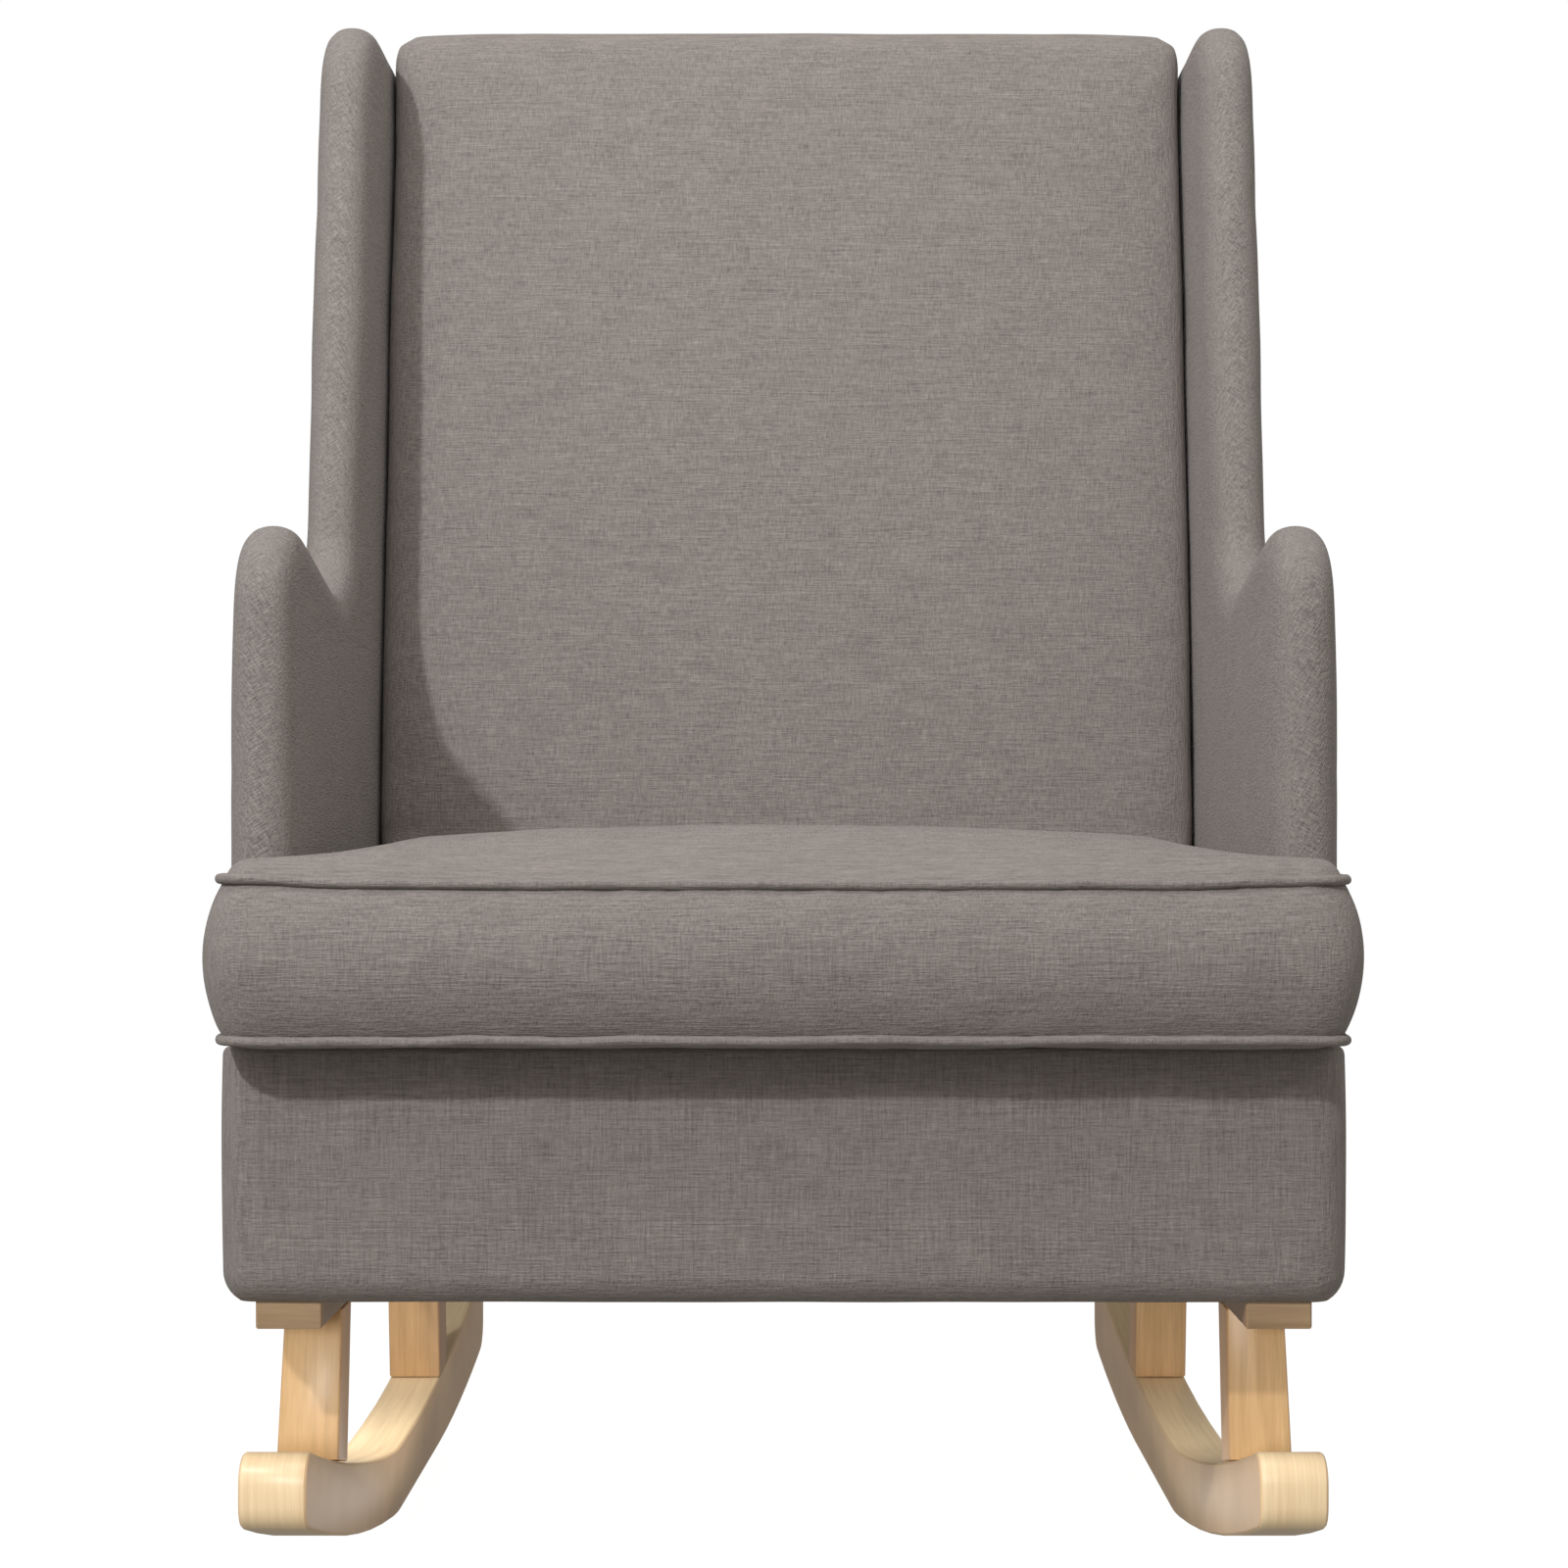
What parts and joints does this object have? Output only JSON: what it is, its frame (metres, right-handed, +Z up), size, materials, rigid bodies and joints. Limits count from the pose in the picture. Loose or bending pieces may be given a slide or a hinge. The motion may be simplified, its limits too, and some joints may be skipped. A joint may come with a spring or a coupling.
{
  "type": "rocking chair",
  "caption": "Upholstered wingback rocking chair with padded arms, a loose T-shaped seat cushion with piping, and light wood legs on curved rockers.",
  "frame": {"origin": "on the floor, under the middle of the chair's bounding box", "axes": "+Z up, +Y from the front of the seat towards the rear tips of the rockers, +X towards the right of someone looking at the chair's front"},
  "size_m": [0.68, 0.901, 1.1006],
  "materials": {
    "upholstery": "matte",
    "light_wood": "satin",
    "plywood": "matte",
    "foam": "matte",
    "black_cloth": "matte",
    "zinc_steel": "satin",
    "spring_steel": "satin"
  },
  "bodies": {
    "chair": {"base_cover": "upholstery", "side_pad_inner_left": "upholstery", "side_pad_inner_right": "upholstery", "side_pad_outer_left": "upholstery", "side_pad_outer_right": "upholstery", "back_pad": "upholstery", "back_cover": "upholstery", "rocker_left": "light_wood", "rocker_right": "light_wood", "leg_front_left": "light_wood", "leg_front_right": "light_wood", "leg_rear_left": "light_wood", "leg_rear_right": "light_wood", "cleat_left": "light_wood", "cleat_right": "light_wood", "corner_block_front_left": "light_wood", "corner_block_front_right": "light_wood", "corner_block_rear_left": "light_wood", "corner_block_rear_right": "light_wood", "seat_rail_front": "plywood", "seat_rail_rear": "plywood", "seat_rail_left": "plywood", "seat_rail_right": "plywood", "side_board_left": "plywood", "side_board_right": "plywood", "back_stile_left": "plywood", "back_stile_right": "plywood", "back_rail_top": "plywood", "back_rail_bottom": "plywood", "back_panel": "plywood", "seat_deck": "black_cloth", "dust_cover": "black_cloth", "back_strap_1": "black_cloth", "back_strap_2": "black_cloth", "rocker_screw_front_left": "zinc_steel", "rocker_screw_front_right": "zinc_steel", "rocker_screw_rear_left": "zinc_steel", "rocker_screw_rear_right": "zinc_steel", "cleat_bolt_front_left": "zinc_steel", "cleat_bolt_front_right": "zinc_steel", "cleat_bolt_rear_left": "zinc_steel", "cleat_bolt_rear_right": "zinc_steel", "side_bolt_front_left": "zinc_steel", "side_bolt_front_right": "zinc_steel", "side_bolt_rear_left": "zinc_steel", "side_bolt_rear_right": "zinc_steel", "back_bolt_low_left": "zinc_steel", "back_bolt_low_right": "zinc_steel", "back_bolt_high_left": "zinc_steel", "back_bolt_high_right": "zinc_steel", "seat_spring_1": "spring_steel", "seat_spring_2": "spring_steel", "seat_spring_3": "spring_steel", "seat_spring_4": "spring_steel"},
    "seat_cushion": {"cushion_case": "upholstery", "cushion_foam": "foam", "welt_top": "upholstery", "welt_bottom": "upholstery", "cushion_zip_tape": "black_cloth"},
    "zip_slider": {"zip_slider": "zinc_steel"}
  },
  "joints": [
    {"name": "cushion_lift", "type": "slide", "parent": "chair", "child": "seat_cushion", "axis": [0, 0, 1], "range_m": [0, 0.3]},
    {"name": "zip_slide", "type": "slide", "parent": "seat_cushion", "child": "zip_slider", "axis": [1, 0, 0], "range_m": [0, 0.44]}
  ]
}
